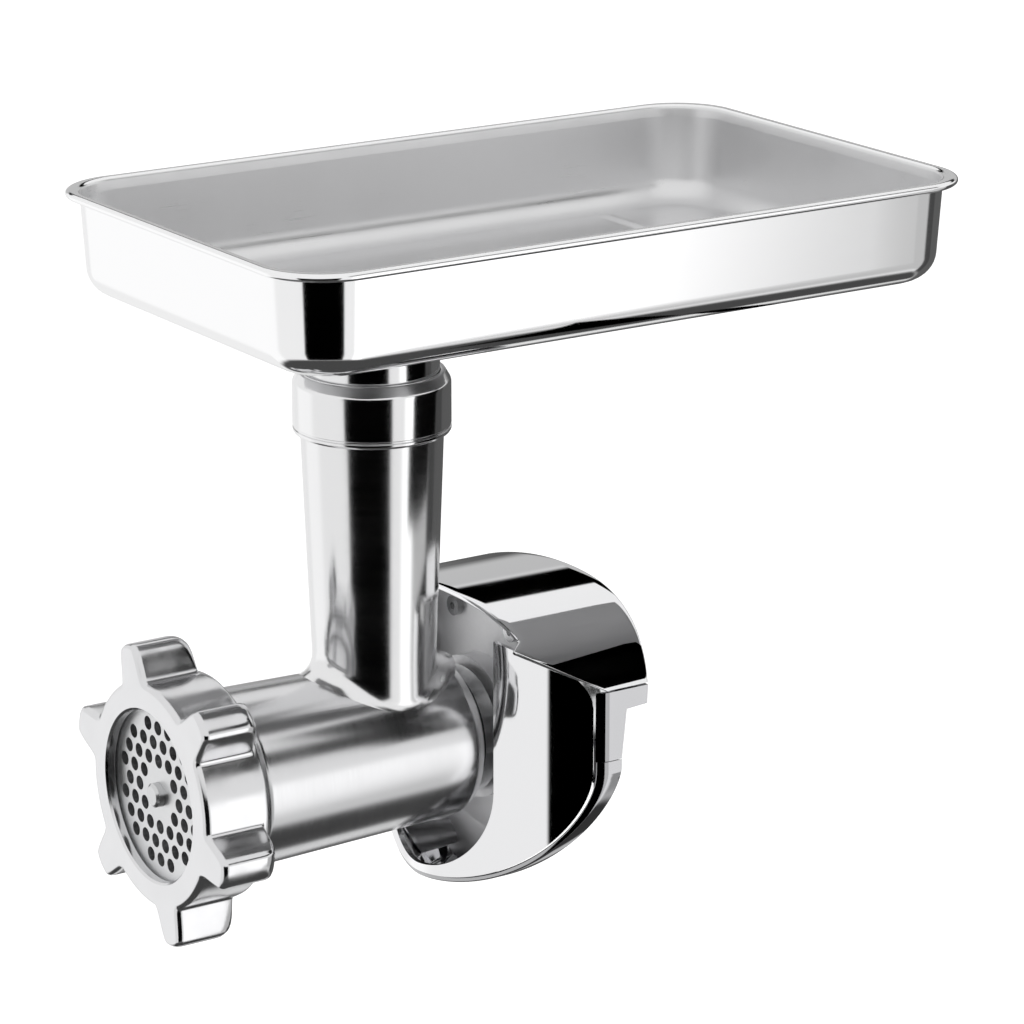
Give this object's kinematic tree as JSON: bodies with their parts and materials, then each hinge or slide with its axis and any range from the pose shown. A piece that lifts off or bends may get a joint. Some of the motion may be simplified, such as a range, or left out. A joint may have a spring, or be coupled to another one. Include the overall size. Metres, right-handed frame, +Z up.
{
  "type": "meat grinder attachment",
  "caption": "Polished metal meat grinder head with a deep rectangular feed tray, tapered neck, lobed ring nut, perforated plate and curved hub housing.",
  "frame": {"origin": "on the barrel axis, where the hub shank's full diameter begins, half a millimetre behind the adapter plate's rear face", "axes": "+Y along the barrel axis from the plate end towards the hub end, +Z up along the feed neck, +X to the right when seen from the plate end"},
  "size_m": [0.161, 0.2682, 0.2306],
  "materials": {
    "cast_body": "fine satin, polished on the neck",
    "polished_steel": "polished",
    "plain_steel": "machined",
    "knife_steel": "ground edges",
    "plate_steel": "ground flat",
    "auger_cast": "tumbled casting",
    "tray_steel": "polished outside, brushed inside",
    "housing_chrome": "mirror",
    "bush_bronze": "sintered bronze",
    "seal_rubber": "matt",
    "washer_plastic": "acetal"
  },
  "bodies": {
    "head": {"barrel": "cast_body", "feed_neck": "cast_body", "neck_collar": "polished_steel", "plate_key": "plain_steel", "rear_bush": "bush_bronze", "shaft_seal": "seal_rubber", "hub_shank": "plain_steel", "flange_gasket": "seal_rubber", "adapter_plate": "cast_body", "inner_shield": "housing_chrome", "front_cover": "housing_chrome", "hood": "housing_chrome", "side_strips": "housing_chrome", "lower_band": "housing_chrome", "cover_screws": "plain_steel", "band_screws": "plain_steel", "shank_screws": "plain_steel", "support_posts": "cast_body"},
    "screw": {"auger": "auger_cast", "auger_stud": "plain_steel", "cross_knife": "knife_steel", "drive_shaft": "plain_steel", "drive_pin": "plain_steel", "thrust_washer": "washer_plastic"},
    "plate": {"grinding_plate": "plate_steel"},
    "nut": {"ring_nut": "polished_steel"},
    "tray": {"tray_pan": "tray_steel", "tray_spigot": "polished_steel"}
  },
  "joints": [
    {"name": "screw_turn", "type": "hinge", "parent": "head", "child": "screw", "pos_m": [0, -0.07, 0], "axis": [0, -1, 0], "continuous": true},
    {"name": "ring_nut_advance", "type": "slide", "parent": "head", "child": "plate", "axis": [0, -1, 0], "range_m": [0, 0.0162]},
    {"name": "ring_nut_turn", "type": "hinge", "parent": "plate", "child": "nut", "pos_m": [0, -0.12, 0], "axis": [0, -1, 0], "range_deg": [0, 1440]},
    {"name": "tray_lift", "type": "slide", "parent": "head", "child": "tray", "axis": [0, 0, 1], "range_m": [0, 0.045]}
  ],
  "couplings": [
    {"joint": "ring_nut_advance", "follows": "ring_nut_turn", "m_per_rad": 0.00063662}
  ]
}
